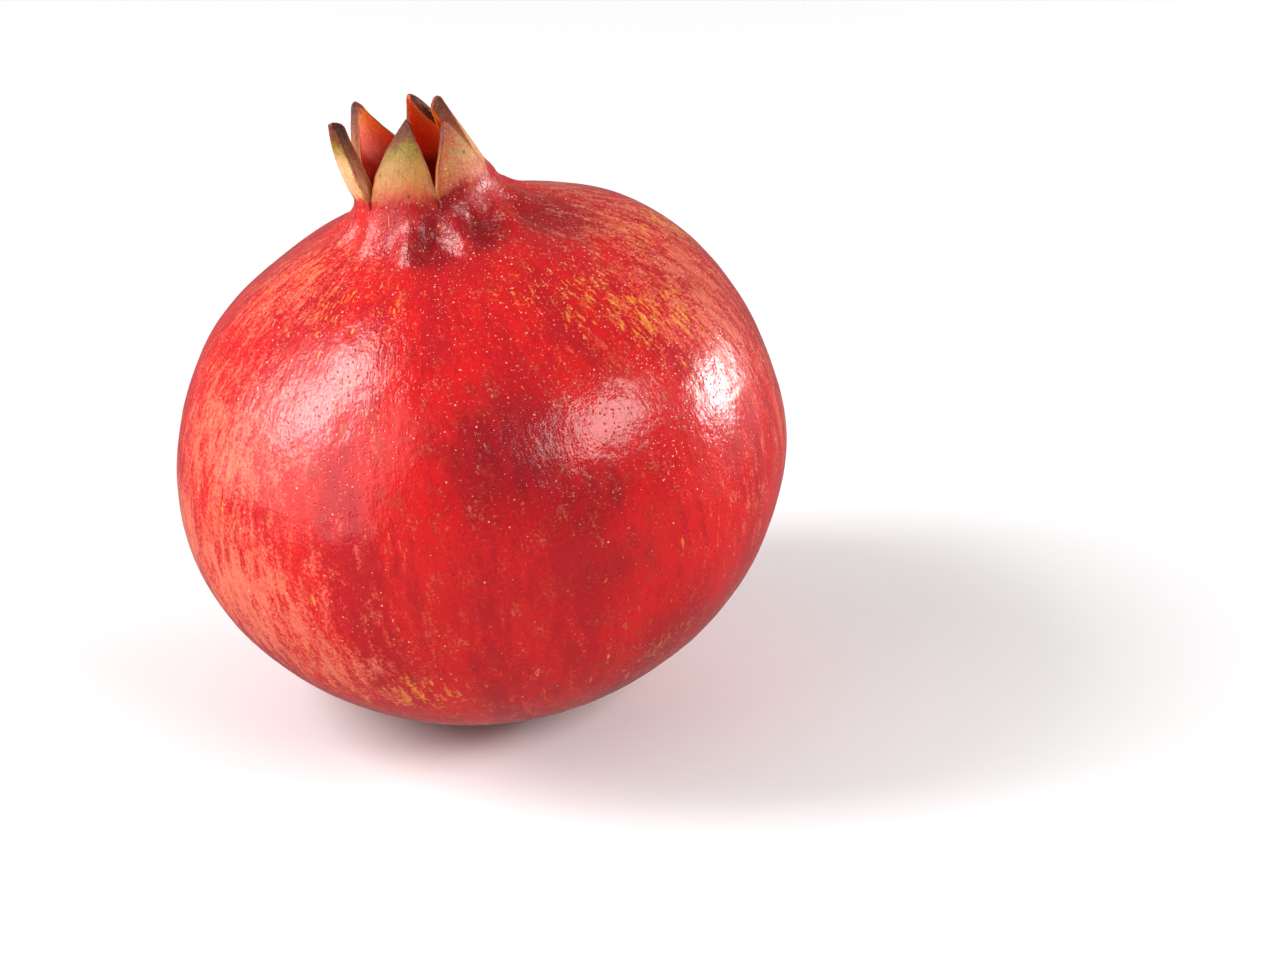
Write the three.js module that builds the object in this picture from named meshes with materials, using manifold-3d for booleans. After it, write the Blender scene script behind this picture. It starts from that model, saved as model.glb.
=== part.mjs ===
// A whole pomegranate, leaning on the flat it lies on, with its open six-pointed crown.
// Millimetres, +Z up. The origin is the middle of the flat spot, and the crown leans to -X.
import * as THREE from "three";
import { mergeVertices } from "three/addons/utils/BufferGeometryUtils.js";
import Module from "manifold-3d";

const wasm = await Module();
wasm.setup();

// Fruit, measured square to its own axis, which runs from the stem end to the crown
const fruitRadius = 47.5;
const fruitHalfHeight = 41.2;
const lean = 10; // degrees
const flatSpotCut = 0.95; // how much of the rind the flat spot takes off
const roundSteps = 66;
const bodySteps = 23;

// Long swellings that run down from the crown, and the odd bulge and flat of this fruit
const swellings = 6;
const swellingHeight = 0.3;
const swellingTurn = -18.5; // azimuth of the front one, in degrees
const swellingFoot = [-60, 10]; // latitudes between which they rise
const swellingHead = [62, 80]; // and between which they die out
const reliefFade = [12, 20]; // nearer the axis than this, the body is plain
const unevenness = [
  { azimuth: 120, latitude: 38, height: 1.1, spread: 21 },
  { azimuth: 130, latitude: 50, height: 1.0, spread: 14 },
  { azimuth: 98, latitude: 10, height: -0.5, spread: 18 },
  { azimuth: 95, latitude: -16, height: 0.6, spread: 16 },
  { azimuth: 155, latitude: 61, height: -0.7, spread: 18 },
  { azimuth: -124, latitude: 50, height: -0.3, spread: 26 },
  { azimuth: -107, latitude: 38, height: 1.1, spread: 15 },
  { azimuth: -78, latitude: -14, height: 0.2, spread: 30 },
];

// Crown tube: where it leaves the body, its rim, the cup inside it and the knobs round its foot
const neckStartLatitude = 68; // degrees
const rim = 45.2;
const neckRadius = 10.8;
const neckFlare = 1.0; // how much wider the tube gets below its rim
const neckPull = [3.8, 4.4]; // how far the neck follows the body's slope and the tube's side
const neckSteps = 7;
const wall = 1.8;
const cupFloor = 38;
const cupCorner = 1.3; // how far the cup has narrowed just above its floor
const cupRise = 0.3; // how far the middle of its floor is domed
const cupSteps = 5;
const knobs = 11;
const knobHeight = 0.75;
const knobTurn = -12; // azimuth of one knob, in degrees
const knobFoot = [37, 40]; // heights between which the knobs rise
const knobHead = [40.5, 44.5]; // and between which they die out

// Crown points: azimuth, tip radius and height, slant at the foot and at the tip (degrees from
// the fruit's axis, outwards positive), twist towards the tip, hood radius, tip thickness, taper
const points = [
  { azimuth: -18.5, tip: [1.8, 56.2], foot: 8, nod: -58, twist: 0, hood: 4.5, thick: 1.1, taper: 1.3 },
  { azimuth: 41.5, tip: [8.1, 56.2], foot: 5, nod: -22, twist: 6, hood: 4.0, thick: 1.1, taper: 1.4 },
  { azimuth: 101.5, tip: [4.9, 58.1], foot: -15, nod: -20, twist: 24, hood: 2.6, thick: 1.7, taper: 1.4 },
  { azimuth: 161.5, tip: [1.6, 59.0], foot: -12, nod: -42, twist: -6, hood: 4.5, thick: 1.2, taper: 1.6 },
  { azimuth: -138.5, tip: [13.3, 56.3], foot: 14, nod: 6, twist: 0, hood: 5.5, thick: 1.2, taper: 1.7 },
  { azimuth: -78.5, tip: [12.1, 57.8], foot: 16, nod: -6, twist: 18, hood: 2.4, thick: 1.7, taper: 1.5 },
];
const footHeight = 43.8; // the points start inside the tube wall
const footRadius = 10.6;
const footHalfWidth = 5.55;
const footThickness = 1.5;
const footShare = 0.1; // how much of a point's line lies inside the tube wall
const tipHalfWidth = 0.5;
const edgeThinning = 0.35; // how much thinner a point is along its edges
const handle = 0.36; // pull of each end's slant, as a share of the point's length
const pointSteps = [6, 12]; // across and along

// Stem end: a short woody stub in a shallow dimple
const stemProfile = [
  [0, -40.7],
  [1.5, -40.7],
  [1.9, -40.35],
  [2.1, -39.9],
  [3.2, -39.75],
  [4.6, -40.3],
];
const dimpleLatitude = -81.5;

const rad = (degrees) => THREE.MathUtils.degToRad(degrees);
const smooth = THREE.MathUtils.smoothstep;

// Turns a three.js geometry into a solid that can be joined and cut.
function solidFrom(geometry) {
  geometry.deleteAttribute("normal");
  geometry.deleteAttribute("uv");
  const closed = mergeVertices(geometry, 1e-3);
  const mesh = new wasm.Mesh({
    numProp: 3,
    vertProperties: closed.attributes.position.array,
    triVerts: new Uint32Array(closed.index.array),
  });
  return new wasm.Manifold(mesh);
}

// Turns a finished solid back into a three.js geometry.
function geometryFrom(solid) {
  const mesh = solid.getMesh();
  const geometry = new THREE.BufferGeometry();
  geometry.setAttribute("position", new THREE.BufferAttribute(mesh.vertProperties, 3));
  geometry.setIndex(new THREE.BufferAttribute(mesh.triVerts, 1));
  geometry.computeVertexNormals();
  return geometry;
}

// The direction at an azimuth, counted from the front (-Y) towards +X.
function outward(azimuth) {
  return new THREE.Vector3(Math.sin(azimuth), -Math.cos(azimuth), 0);
}

// How far the rind stands out at an azimuth and latitude on the body, in radians.
function bodyRelief(azimuth, latitude) {
  const here = new THREE.Vector3();
  const there = new THREE.Vector3();
  const place = (v, a, l) => v.copy(outward(a)).multiplyScalar(Math.cos(l)).setZ(Math.sin(l));
  const rise = smooth(latitude, ...swellingFoot.map(rad));
  const band = rise * (1 - smooth(latitude, ...swellingHead.map(rad)));
  let relief = swellingHeight * band * Math.cos(swellings * (azimuth - rad(swellingTurn)));
  place(here, azimuth, latitude);
  for (const bump of unevenness) {
    place(there, rad(bump.azimuth), rad(bump.latitude));
    relief += bump.height * Math.exp(-((here.angleTo(there) / rad(bump.spread)) ** 2));
  }
  return relief;
}

// How far the small knobs round the foot of the crown tube stand out.
function neckRelief(azimuth, height) {
  const band = smooth(height, ...knobFoot) * (1 - smooth(height, ...knobHead));
  return knobHeight * band * Math.cos(knobs * (azimuth - rad(knobTurn)));
}

// Half outline of the fruit from the stem end, over the body and the crown tube, into the cup.
function fruitOutline() {
  const start = rad(neckStartLatitude);
  const body = new THREE.EllipseCurve(
    0, 0, fruitRadius, fruitHalfHeight, rad(dimpleLatitude), start,
  );
  const leave = body.getPoint(1);
  const slope = body.getTangent(1);
  const neck = new THREE.CubicBezierCurve(
    leave,
    leave.clone().addScaledVector(slope, neckPull[0]),
    new THREE.Vector2(neckRadius + neckFlare, rim - neckPull[1]),
    new THREE.Vector2(neckRadius, rim),
  );
  const cupRadius = neckRadius - wall;
  const cup = new THREE.SplineCurve([
    new THREE.Vector2(cupRadius, rim),
    new THREE.Vector2(cupRadius, (rim + cupFloor) / 2),
    new THREE.Vector2(cupRadius - cupCorner, cupFloor + cupCorner / 2),
    new THREE.Vector2(cupRadius / 2, cupFloor),
  ]);
  return [
    ...stemProfile.map(([radius, height]) => new THREE.Vector2(radius, height)),
    ...body.getPoints(bodySteps),
    ...neck.getPoints(neckSteps).slice(1),
    ...cup.getPoints(cupSteps),
    new THREE.Vector2(0, cupFloor + cupRise),
  ];
}

// The body and crown tube, turned about the fruit's axis and then made uneven.
function makeFruit() {
  const geometry = new THREE.LatheGeometry(fruitOutline(), roundSteps).rotateX(Math.PI / 2);
  const place = geometry.attributes.position;
  const v = new THREE.Vector3();
  const cupRadius = neckRadius - wall;
  for (let i = 0; i < place.count; i++) {
    v.fromBufferAttribute(place, i);
    const radius = Math.hypot(v.x, v.y);
    if (v.z > 0 && radius < cupRadius + wall / 4) continue;
    const azimuth = Math.atan2(v.x, -v.y);
    const latitude = Math.atan2(v.z / fruitHalfHeight, radius / fruitRadius);
    const face = outward(azimuth).multiplyScalar(radius / fruitRadius);
    face.setZ(v.z / fruitHalfHeight).normalize();
    v.addScaledVector(face, bodyRelief(azimuth, latitude) * smooth(radius, ...reliefFade));
    v.addScaledVector(outward(azimuth), neckRelief(azimuth, v.z));
    place.setXYZ(i, v.x, v.y, v.z);
  }
  return solidFrom(geometry);
}

// The outer line of a crown point, as radius and height, from its foot to its tip.
function pointLine(spec) {
  const foot = new THREE.Vector2(footRadius, footHeight);
  const tip = new THREE.Vector2(...spec.tip);
  const pull = handle * foot.distanceTo(tip);
  const along = (degrees) => new THREE.Vector2(Math.sin(rad(degrees)), Math.cos(rad(degrees)));
  return new THREE.CubicBezierCurve(
    foot,
    foot.clone().addScaledVector(along(spec.foot), pull),
    tip.clone().addScaledVector(along(spec.nod), -pull),
    tip,
  );
}

// One crown point: a box bent along its line, round like the tube at its foot, hooded at its tip.
function makePoint(spec) {
  const line = pointLine(spec);
  const up = new THREE.Vector3(0, 0, 1);
  const out = outward(rad(spec.azimuth));
  const geometry = new THREE.BoxGeometry(2, 1, 1, ...pointSteps, 1);
  const place = geometry.attributes.position;
  const v = new THREE.Vector3();
  for (let i = 0; i < place.count; i++) {
    v.fromBufferAttribute(place, i);
    const along = v.y + 0.5;
    const depth = 0.5 - v.z;
    const free = Math.max(0, (along - footShare) / (1 - footShare));
    const half = tipHalfWidth + (footHalfWidth - tipHalfWidth) * (1 - free ** 2) ** spec.taper;
    const bend = THREE.MathUtils.lerp(neckRadius, spec.hood, smooth(along, footShare, 1));
    const turn = (v.x * half) / bend;
    const thinned = 1 - edgeThinning * v.x ** 2;
    const thick = THREE.MathUtils.lerp(footThickness, spec.thick, along) * thinned;
    const at = line.getPoint(along);
    const run = line.getTangent(along);
    const ahead = outward(rad(spec.azimuth + spec.twist * free));
    const side = new THREE.Vector3(-ahead.y, ahead.x, 0);
    const face = ahead.multiplyScalar(run.y).addScaledVector(up, -run.x);
    v.copy(out).multiplyScalar(at.x).addScaledVector(up, at.y);
    v.addScaledVector(face, bend * (Math.cos(turn) - 1) - depth * thick * Math.cos(turn));
    v.addScaledVector(side, (bend - depth * thick) * Math.sin(turn));
    place.setXYZ(i, v.x, v.y, v.z);
  }
  return solidFrom(geometry);
}

// Leans the fruit, sets it on the floor and takes the flat spot off it.
function layDown(fruit) {
  const turn = rad(lean);
  const low = Math.hypot(fruitRadius * Math.sin(turn), fruitHalfHeight * Math.cos(turn));
  const spread = fruitRadius ** 2 - fruitHalfHeight ** 2;
  const sideways = (spread * Math.sin(turn) * Math.cos(turn)) / low;
  return fruit
    .rotate([0, -lean, 0])
    .translate([sideways, 0, low - flatSpotCut])
    .trimByPlane([0, 0, 1], 0);
}

const grown = points.reduce((whole, spec) => whole.add(makePoint(spec)), makeFruit());

const rind = new THREE.MeshStandardMaterial({ color: "#c6242b", roughness: 0.42, metalness: 0 });
const pomegranate = new THREE.Mesh(geometryFrom(layDown(grown)), rind);
pomegranate.name = "pomegranate";

const group = new THREE.Group();
group.add(pomegranate);
export default group;
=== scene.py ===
import math
import bpy
import numpy as np
from mathutils import Euler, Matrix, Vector, noise


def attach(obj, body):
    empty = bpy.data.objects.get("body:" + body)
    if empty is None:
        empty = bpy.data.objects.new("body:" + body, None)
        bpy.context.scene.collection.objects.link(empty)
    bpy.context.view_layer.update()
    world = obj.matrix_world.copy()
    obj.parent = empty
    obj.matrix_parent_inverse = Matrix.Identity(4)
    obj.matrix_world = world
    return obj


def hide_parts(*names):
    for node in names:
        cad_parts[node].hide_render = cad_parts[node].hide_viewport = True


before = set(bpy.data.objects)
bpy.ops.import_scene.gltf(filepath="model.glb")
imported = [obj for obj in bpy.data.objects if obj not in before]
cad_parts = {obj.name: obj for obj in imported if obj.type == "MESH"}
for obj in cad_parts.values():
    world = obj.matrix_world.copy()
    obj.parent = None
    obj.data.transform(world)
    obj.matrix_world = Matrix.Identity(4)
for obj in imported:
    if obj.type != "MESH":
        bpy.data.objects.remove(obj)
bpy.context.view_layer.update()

mm = 0.001  # lengths below are in millimetres unless a line says otherwise

# The whole fruit, measured square to its own axis, which runs from the stem end to the crown.
# Azimuths are in degrees from the front (-Y) towards +X, latitudes are on the body.
fruit = {
    "radius": 47.5,
    "halfHeight": 41.2,
    "lean": 10,
    "flatSpotCut": 0.95,
    "swellings": 6,
    "swellingHeight": 0.3,
    "swellingTurn": -18.5,
    "swellingFoot": (-60, 10),  # latitudes that the swellings rise between, and die out between
    "swellingHead": (62, 80),
    "reliefFade": (12, 20),  # distances from the axis that the unevenness rises between
    "unevenness": [  # azimuth, latitude, height, spread
        (120, 38, 1.1, 21), (130, 50, 1.0, 14), (98, 10, -0.5, 18), (95, -16, 0.6, 16),
        (155, 61, -0.7, 18), (-124, 50, -0.3, 26), (-107, 38, 1.1, 15), (-78, -14, 0.2, 30),
    ],
    "stem": [(1.5, -40.7), (1.9, -40.35), (2.1, -39.9), (3.2, -39.75), (4.6, -40.3)],
    "dimpleLatitude": -81.5,
    "neckLatitude": 68,
    "neckPull": (3.8, 4.4),  # how far the neck follows the body's slope and the tube's side
    "bodyRows": 33,
    "neckRows": 10,
    "subdivisions": 2,
    "ripple": 0.16,  # slow unevenness of the rind
    "rippleSize": 14,
    "creases": 0.05,  # shallow folds that run from crown to stem
    "creaseLength": 30,
    "creasesAround": 9,
    "pebbles": 0.2,  # lumpy skin round the foot of the crown
    "pebbleSize": 2.2,
    "pebbleHeight": 40.5,  # where the lumpy skin lies, and how far it reaches up and down
    "pebbleReach": 3.5,
    "calmCrown": 0.25,  # share of the ripples and creases that the crown gets
    "flowRadius": 44,  # turns a latitude into millimetres along the rind, for the streaks
    "flowNarrowing": 0.45,  # how much the streaks run together towards crown and stem
    "scarDepth": 0.3,
    "scarPit": 2.4,  # pit and raised lip of a scar, as shares of its depth
    "scarLip": 1.4,
    "scars": [  # azimuth, latitude, length and width in mm
        (-24, 34.5, 3.4, 1.3), (-36, 27, 1.6, 1.5), (-31, 21, 1.5, 1.1), (150, 20, 3.0, 1.5),
        (-120, -10, 2.4, 1.6), (95, -20, 2.0, 1.2), (-58, -12, 1.3, 1.1),
    ],
}

# The crown: a short tube with a cup in it, and six points that the rim splits into
crown = {
    "rim": 45.2,
    "radius": 10.8,
    "flare": 1.0,  # how much wider the tube gets below its rim
    "wall": 1.8,
    "cupFloor": 38.0,
    "knobs": 11,
    "knobHeight": 0.75,
    "knobTurn": -12,
    "knobFoot": (37, 40),  # heights that the knobs rise between, and die out between
    "knobHead": (40.5, 44.5),
    "footHeight": 43.8,
    "footRadius": 10.6,
    "footHalfWidth": 5.5,
    "footThickness": 1.6,
    "footShare": 0.1,  # how much of a point's line is hidden in the tube wall
    "handle": 0.36,
    "columns": 10,  # across one point
    "rows": 13,  # from the rim to a tip
    "rowCrowding": 1.4,  # above 1, the rows crowd towards the tip
    "wave": 0.3,  # how far the edges of the points wander
    "rolledRim": 0.12,  # how much thicker a point is along its edges
    "edgeBulge": 0.3,  # how far its edges and its tip are rounded out
    "tipStart": 0.88,  # where along a point its tip starts to round off
    "tipThinness": 0.35,  # share of its thickness that is left at the very tip
    "notchDips": (0.2, 1.5, 0.6, 0.3, 0.8, 0.4),  # how far each notch is torn below the rim
    "notchWidth": 0.22,  # radians to each side
    "notchShares": (1.0, 0.6, 0.25),  # of a dip, for the rim and the two rows below it
    "lumps": [  # azimuth, height, lift, spread in degrees, spread in mm
        (-14, 40.3, 1.6, 9, 1.7), (21, 40.1, 1.5, 9, 1.7), (61, 40.8, 0.8, 11, 1.7),
        (-50, 41.0, 0.4, 10, 1.6), (3, 40.4, -1.1, 6, 1.7), (36, 39.9, -1.4, 7, 1.6),
        (115, 38.6, 1.3, 26, 2.6), (98, 40.5, 0.6, 10, 1.6), (136, 40.0, 0.7, 10, 1.5),
        (176, 40.6, 0.7, 9, 1.5), (-143, 40.2, 0.8, 10, 1.6), (-95, 40.7, 0.6, 9, 1.6),
        (-120, 39.9, -0.5, 8, 1.5),
    ],
    # Each point: how warm, how pale outside and how much painted light brightens its inside, from 0 to 1,
    # its tip's radius and height, its slant at the foot and at the tip, its twist, the radius it curls to,
    # and its shape. The paleness is partly the dry skin's own cream and partly painted light, highest on
    # the point that faces the left lamps; the inside brightening is painted light that stands in for light
    # through the thin points.
    "points": [
        {"azimuth": -18.5, "warmth": 0.0, "pale": 0.1, "paintedGlow": 0.0, "tip": (1.8, 56.2), "foot": 8,
         "nod": -58, "twist": 0, "hood": 4.5, "thick": 1.0, "tipWidth": 0.35, "taper": 1.3},
        {"azimuth": 41.5, "warmth": 0.9, "pale": 0.2, "paintedGlow": 0.0, "tip": (8.1, 56.2), "foot": 5,
         "nod": -22, "twist": 6, "hood": 4.0, "thick": 1.1, "tipWidth": 0.6, "taper": 1.4},
        {"azimuth": 101.5, "warmth": 0.7, "pale": 0.5, "paintedGlow": 0.3, "tip": (4.9, 58.1), "foot": -15,
         "nod": -20, "twist": 24, "hood": 2.6, "thick": 2.1, "tipWidth": 1.2, "taper": 1.4},
        {"azimuth": 161.5, "warmth": 0.5, "pale": 0.3, "paintedGlow": 1.0, "tip": (1.6, 59.0), "foot": -12,
         "nod": -42, "twist": -6, "hood": 4.5, "thick": 1.3, "tipWidth": 0.8, "taper": 1.6},
        {"azimuth": 221.5, "warmth": 0.4, "pale": 0.2, "paintedGlow": 0.0, "tip": (13.3, 56.3), "foot": 14,
         "nod": 6, "twist": 0, "hood": 5.5, "thick": 1.3, "tipWidth": 0.8, "taper": 1.7},
        {"azimuth": 281.5, "warmth": 0.1, "pale": 0.9, "paintedGlow": 0.0, "tip": (12.1, 57.8), "foot": 16,
         "nod": -6, "twist": 18, "hood": 2.4, "thick": 2.3, "tipWidth": 1.2, "taper": 1.5},
    ],
}


def smooth(value, low, high):
    t = np.clip((value - low) / (high - low), 0, 1)
    return t * t * (3 - 2 * t)


def outward(azimuth):  # the level direction at an azimuth in radians
    return np.stack([np.sin(azimuth), -np.cos(azimuth), np.zeros_like(azimuth)], -1)


def onSphere(azimuth, latitude):
    flat = outward(azimuth) * np.cos(latitude)[..., None]
    flat[..., 2] = np.sin(latitude)
    return flat


# Where the leaning fruit stands: its lowest point comes down on the origin, less the flat spot
turn = math.radians(fruit["lean"])
lowest = math.hypot(fruit["radius"] * math.sin(turn), fruit["halfHeight"] * math.cos(turn))
spread = fruit["radius"] ** 2 - fruit["halfHeight"] ** 2
centre = Vector((spread * math.sin(turn) * math.cos(turn) / lowest, 0, lowest - fruit["flatSpotCut"]))
leanTurn = Euler((0, -turn, 0)).to_matrix()


def stand(places):  # from the fruit's own frame in mm to the scene's in metres
    return (places @ np.array(leanTurn).T + np.array(centre)) * mm


def bodyRelief(azimuth, latitude):
    band = smooth(latitude, *np.radians(fruit["swellingFoot"]))
    band = band * (1 - smooth(latitude, *np.radians(fruit["swellingHead"])))
    wave = np.cos(fruit["swellings"] * (azimuth - math.radians(fruit["swellingTurn"])))
    relief = fruit["swellingHeight"] * band * wave
    here = onSphere(azimuth, latitude)
    for bumpAzimuth, bumpLatitude, height, reach in fruit["unevenness"]:
        there = onSphere(np.array(math.radians(bumpAzimuth)), np.array(math.radians(bumpLatitude)))
        angle = np.degrees(np.arccos(np.clip(here @ there, -1, 1)))
        relief = relief + height * np.exp(-((angle / reach) ** 2))
    return relief


def neckRelief(azimuth, height):
    band = smooth(height, *crown["knobFoot"]) * (1 - smooth(height, *crown["knobHead"]))
    wave = np.cos(crown["knobs"] * (azimuth - math.radians(crown["knobTurn"])))
    return crown["knobHeight"] * band * wave


def curveAt(ends, t):  # a cubic curve through two ends with a handle each, and its direction
    a, b, c, d = (np.array(p, float) for p in ends)
    t = np.asarray(t, float)[..., None]
    place = a * (1 - t) ** 3 + 3 * b * t * (1 - t) ** 2 + 3 * c * t * t * (1 - t) + d * t ** 3
    run = 3 * (b - a) * (1 - t) ** 2 + 6 * (c - b) * t * (1 - t) + 3 * (d - c) * t * t
    return place, run / np.linalg.norm(run, axis=-1, keepdims=True)


def bodyOutline():  # radius and height from the stem end up to the rim
    radius, halfHeight = fruit["radius"], fruit["halfHeight"]
    latitudes = np.radians(np.linspace(fruit["dimpleLatitude"], fruit["neckLatitude"], fruit["bodyRows"]))
    body = np.stack([radius * np.cos(latitudes), halfHeight * np.sin(latitudes)], -1)
    last = latitudes[-1]
    slope = np.array([-radius * math.sin(last), halfHeight * math.cos(last)])
    slope /= np.linalg.norm(slope)
    rim = np.array([crown["radius"], crown["rim"]])
    pull = fruit["neckPull"]
    ends = [body[-1], body[-1] + slope * pull[0], rim + (crown["flare"], -pull[1]), rim]
    neck, _ = curveAt(ends, np.linspace(0, 1, fruit["neckRows"] + 1)[1:])
    return np.vstack([fruit["stem"], body, neck])


def cupOutline():  # radius and height from the rim down to the floor of the cup
    radius = crown["radius"] - crown["wall"]
    rim = crown["rim"]
    floor = crown["cupFloor"]
    wall = [(radius, rim), (radius - 0.05, rim - 2.6), (radius - 0.2, rim - 4.4)]
    corner = [(radius - 0.8, floor + 1.6), (radius - 2.2, floor + 0.35)]
    return wall + corner + [(radius * 0.45, floor), (1.2, floor + 0.4)]


def ringAt(radius, height, azimuth, uneven=True):
    places = outward(azimuth) * radius
    places[:, 2] = height
    if not uneven:
        return places
    level = np.full_like(azimuth, radius)
    latitude = np.arctan2(height / fruit["halfHeight"], level / fruit["radius"])
    face = outward(azimuth) * radius / fruit["radius"]
    face[:, 2] = height / fruit["halfHeight"]
    face /= np.linalg.norm(face, axis=1, keepdims=True)
    places += face * (bodyRelief(azimuth, latitude) * smooth(level, *fruit["reliefFade"]))[:, None]
    places += outward(azimuth) * neckRelief(azimuth, np.full_like(azimuth, height))[:, None]
    return places


def notchDip(azimuth):  # how far the rim is torn down at an azimuth
    dip = np.zeros_like(azimuth)
    share = 2 * math.pi / len(crown["points"])
    first = math.radians(crown["points"][0]["azimuth"]) - share / 2
    for number, depth in enumerate(crown["notchDips"]):
        away = (azimuth - first - number * share + math.pi) % (2 * math.pi) - math.pi
        dip = np.maximum(dip, depth * (1 - smooth(np.abs(away), 0, crown["notchWidth"])))
    return dip


def pointPlaces(number, free, across):
    # Places on the outer and inner face of a crown point: free runs 0 to 1 from rim to tip,
    # across runs -1 to 1 from one edge to the other
    spec = crown["points"][number]
    foot = np.array([crown["footRadius"], crown["footHeight"]])
    tip = np.array(spec["tip"])
    pull = crown["handle"] * np.linalg.norm(tip - foot)
    slants = [math.radians(spec[end]) for end in ("foot", "nod")]
    rise, arrive = (np.array([math.sin(slant), math.cos(slant)]) for slant in slants)
    along = crown["footShare"] + (1 - crown["footShare"]) * free
    at, run = curveAt([foot, foot + rise * pull, tip - arrive * pull, tip], along)
    narrowing = (1 - free ** 2) ** spec["taper"]
    half = spec["tipWidth"] + (crown["footHalfWidth"] - spec["tipWidth"]) * narrowing
    # each edge wanders along a stretch of noise of its own
    wander = [noise.noise(Vector((f * 5 + 9 * number, 3 * (a > 0), 0.5))) for f, a in zip(free, across)]
    half = half + crown["wave"] * np.array(wander) * smooth(free, 0, 0.3)
    bend = crown["radius"] + (spec["hood"] - crown["radius"]) * smooth(along, crown["footShare"], 1)
    swing = across * half / bend
    thick = crown["footThickness"] + (spec["thick"] - crown["footThickness"]) * along
    past = np.clip(free - crown["tipStart"], 0, 1) / (1.005 - crown["tipStart"])
    ending = np.sqrt(np.clip(1 - past ** 2, 0.04, 1))  # rounds the tip off
    swing = swing * ending
    left = crown["tipThinness"]
    thick = thick * (1 + crown["rolledRim"] * across ** 2) * (left + (1 - left) * ending)
    ahead = outward(np.radians(spec["azimuth"] + spec["twist"] * free))
    side = np.stack([-ahead[:, 1], ahead[:, 0], ahead[:, 2]], -1)
    up = np.array([0, 0, 1.0])
    face = ahead * run[:, 1:] - up * run[:, :1]
    middle = outward(np.full_like(free, math.radians(spec["azimuth"]))) * at[:, :1] + up * at[:, 1:]
    sheets = []
    for depth in (np.zeros_like(thick), thick):
        inwards = bend * (np.cos(swing) - 1) - depth * np.cos(swing)
        sideways = (bend - depth) * np.sin(swing)
        sheets.append(middle + face * inwards[:, None] + side * sideways[:, None])
    edgewards = side * np.sign(across)[:, None]
    return sheets[0], sheets[1], edgewards, thick


class Cage:  # collects the vertices, faces and per-vertex marks of the fruit's control mesh
    def __init__(self):
        self.places, self.faces = [], []
        self.tint = {"crownWarmth": 0.0, "crownPale": 0.0, "crownGlow": 0.0}
        self.marks = {name: [] for name in ("crownReach", "crownInside", "crownEdge", *self.tint)}

    def add(self, places, reach=0.0, inside=0.0, edge=0.0):
        first = len(self.places)
        values = {"crownReach": reach, "crownInside": inside, "crownEdge": edge, **self.tint}
        for row, place in enumerate(places):
            self.places.append(place)
            for name, value in values.items():
                self.marks[name].append(value[row] if np.ndim(value) else value)
        return np.arange(first, len(self.places))

    def quads(self, low, high, closed=False):  # a band of faces between two rows of vertices
        count = len(low)
        for j in range(count if closed else count - 1):
            k = (j + 1) % count
            self.faces.append((low[j], low[k], high[k], high[j]))


def growPoint(cage, number, rimOut, rimMid, rimIn):
    count, rows = crown["columns"], crown["rows"]
    across = np.linspace(-1, 1, count + 1)
    steps = 1 - (1 - np.linspace(0, 1, rows + 1)) ** crown["rowCrowding"]
    spec = crown["points"][number]
    cage.tint = {"crownWarmth": spec["warmth"], "crownPale": spec["pale"], "crownGlow": spec["paintedGlow"]}
    outer, inner = [rimOut], [rimIn]
    left, right = [rimMid[0]], [rimMid[-1]]
    for free in steps[1:]:
        frees = np.full(count + 1, free)
        out, inn, edgewards, thick = pointPlaces(number, frees, across)
        outer.append(cage.add(out, free, 0.0, np.abs(across)))
        inner.append(cage.add(inn, free, 1.0, np.abs(across)))
        mid = (out + inn) / 2 + edgewards * thick[:, None] * crown["edgeBulge"]
        left.append(cage.add(mid[:1], free, 0.5, 1.0)[0])
        right.append(cage.add(mid[-1:], free, 0.5, 1.0)[0])
    for t in range(rows):
        cage.quads(outer[t], outer[t + 1])
        cage.quads(inner[t + 1], inner[t])
        cage.quads([outer[t + 1][0], outer[t][0]], [left[t + 1], left[t]])
        cage.quads([left[t + 1], left[t]], [inner[t + 1][0], inner[t][0]])
        cage.quads([outer[t][-1], outer[t + 1][-1]], [right[t], right[t + 1]])
        cage.quads([right[t], right[t + 1]], [inner[t][-1], inner[t + 1][-1]])
    over = (out + inn)[1:-1] / 2 + np.array([0, 0, crown["edgeBulge"]])
    tip = np.concatenate([left[-1:], cage.add(over, 1.0, 0.5, 1.0), right[-1:]])
    cage.quads(outer[-1], tip)
    cage.quads(tip, inner[-1])


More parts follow.
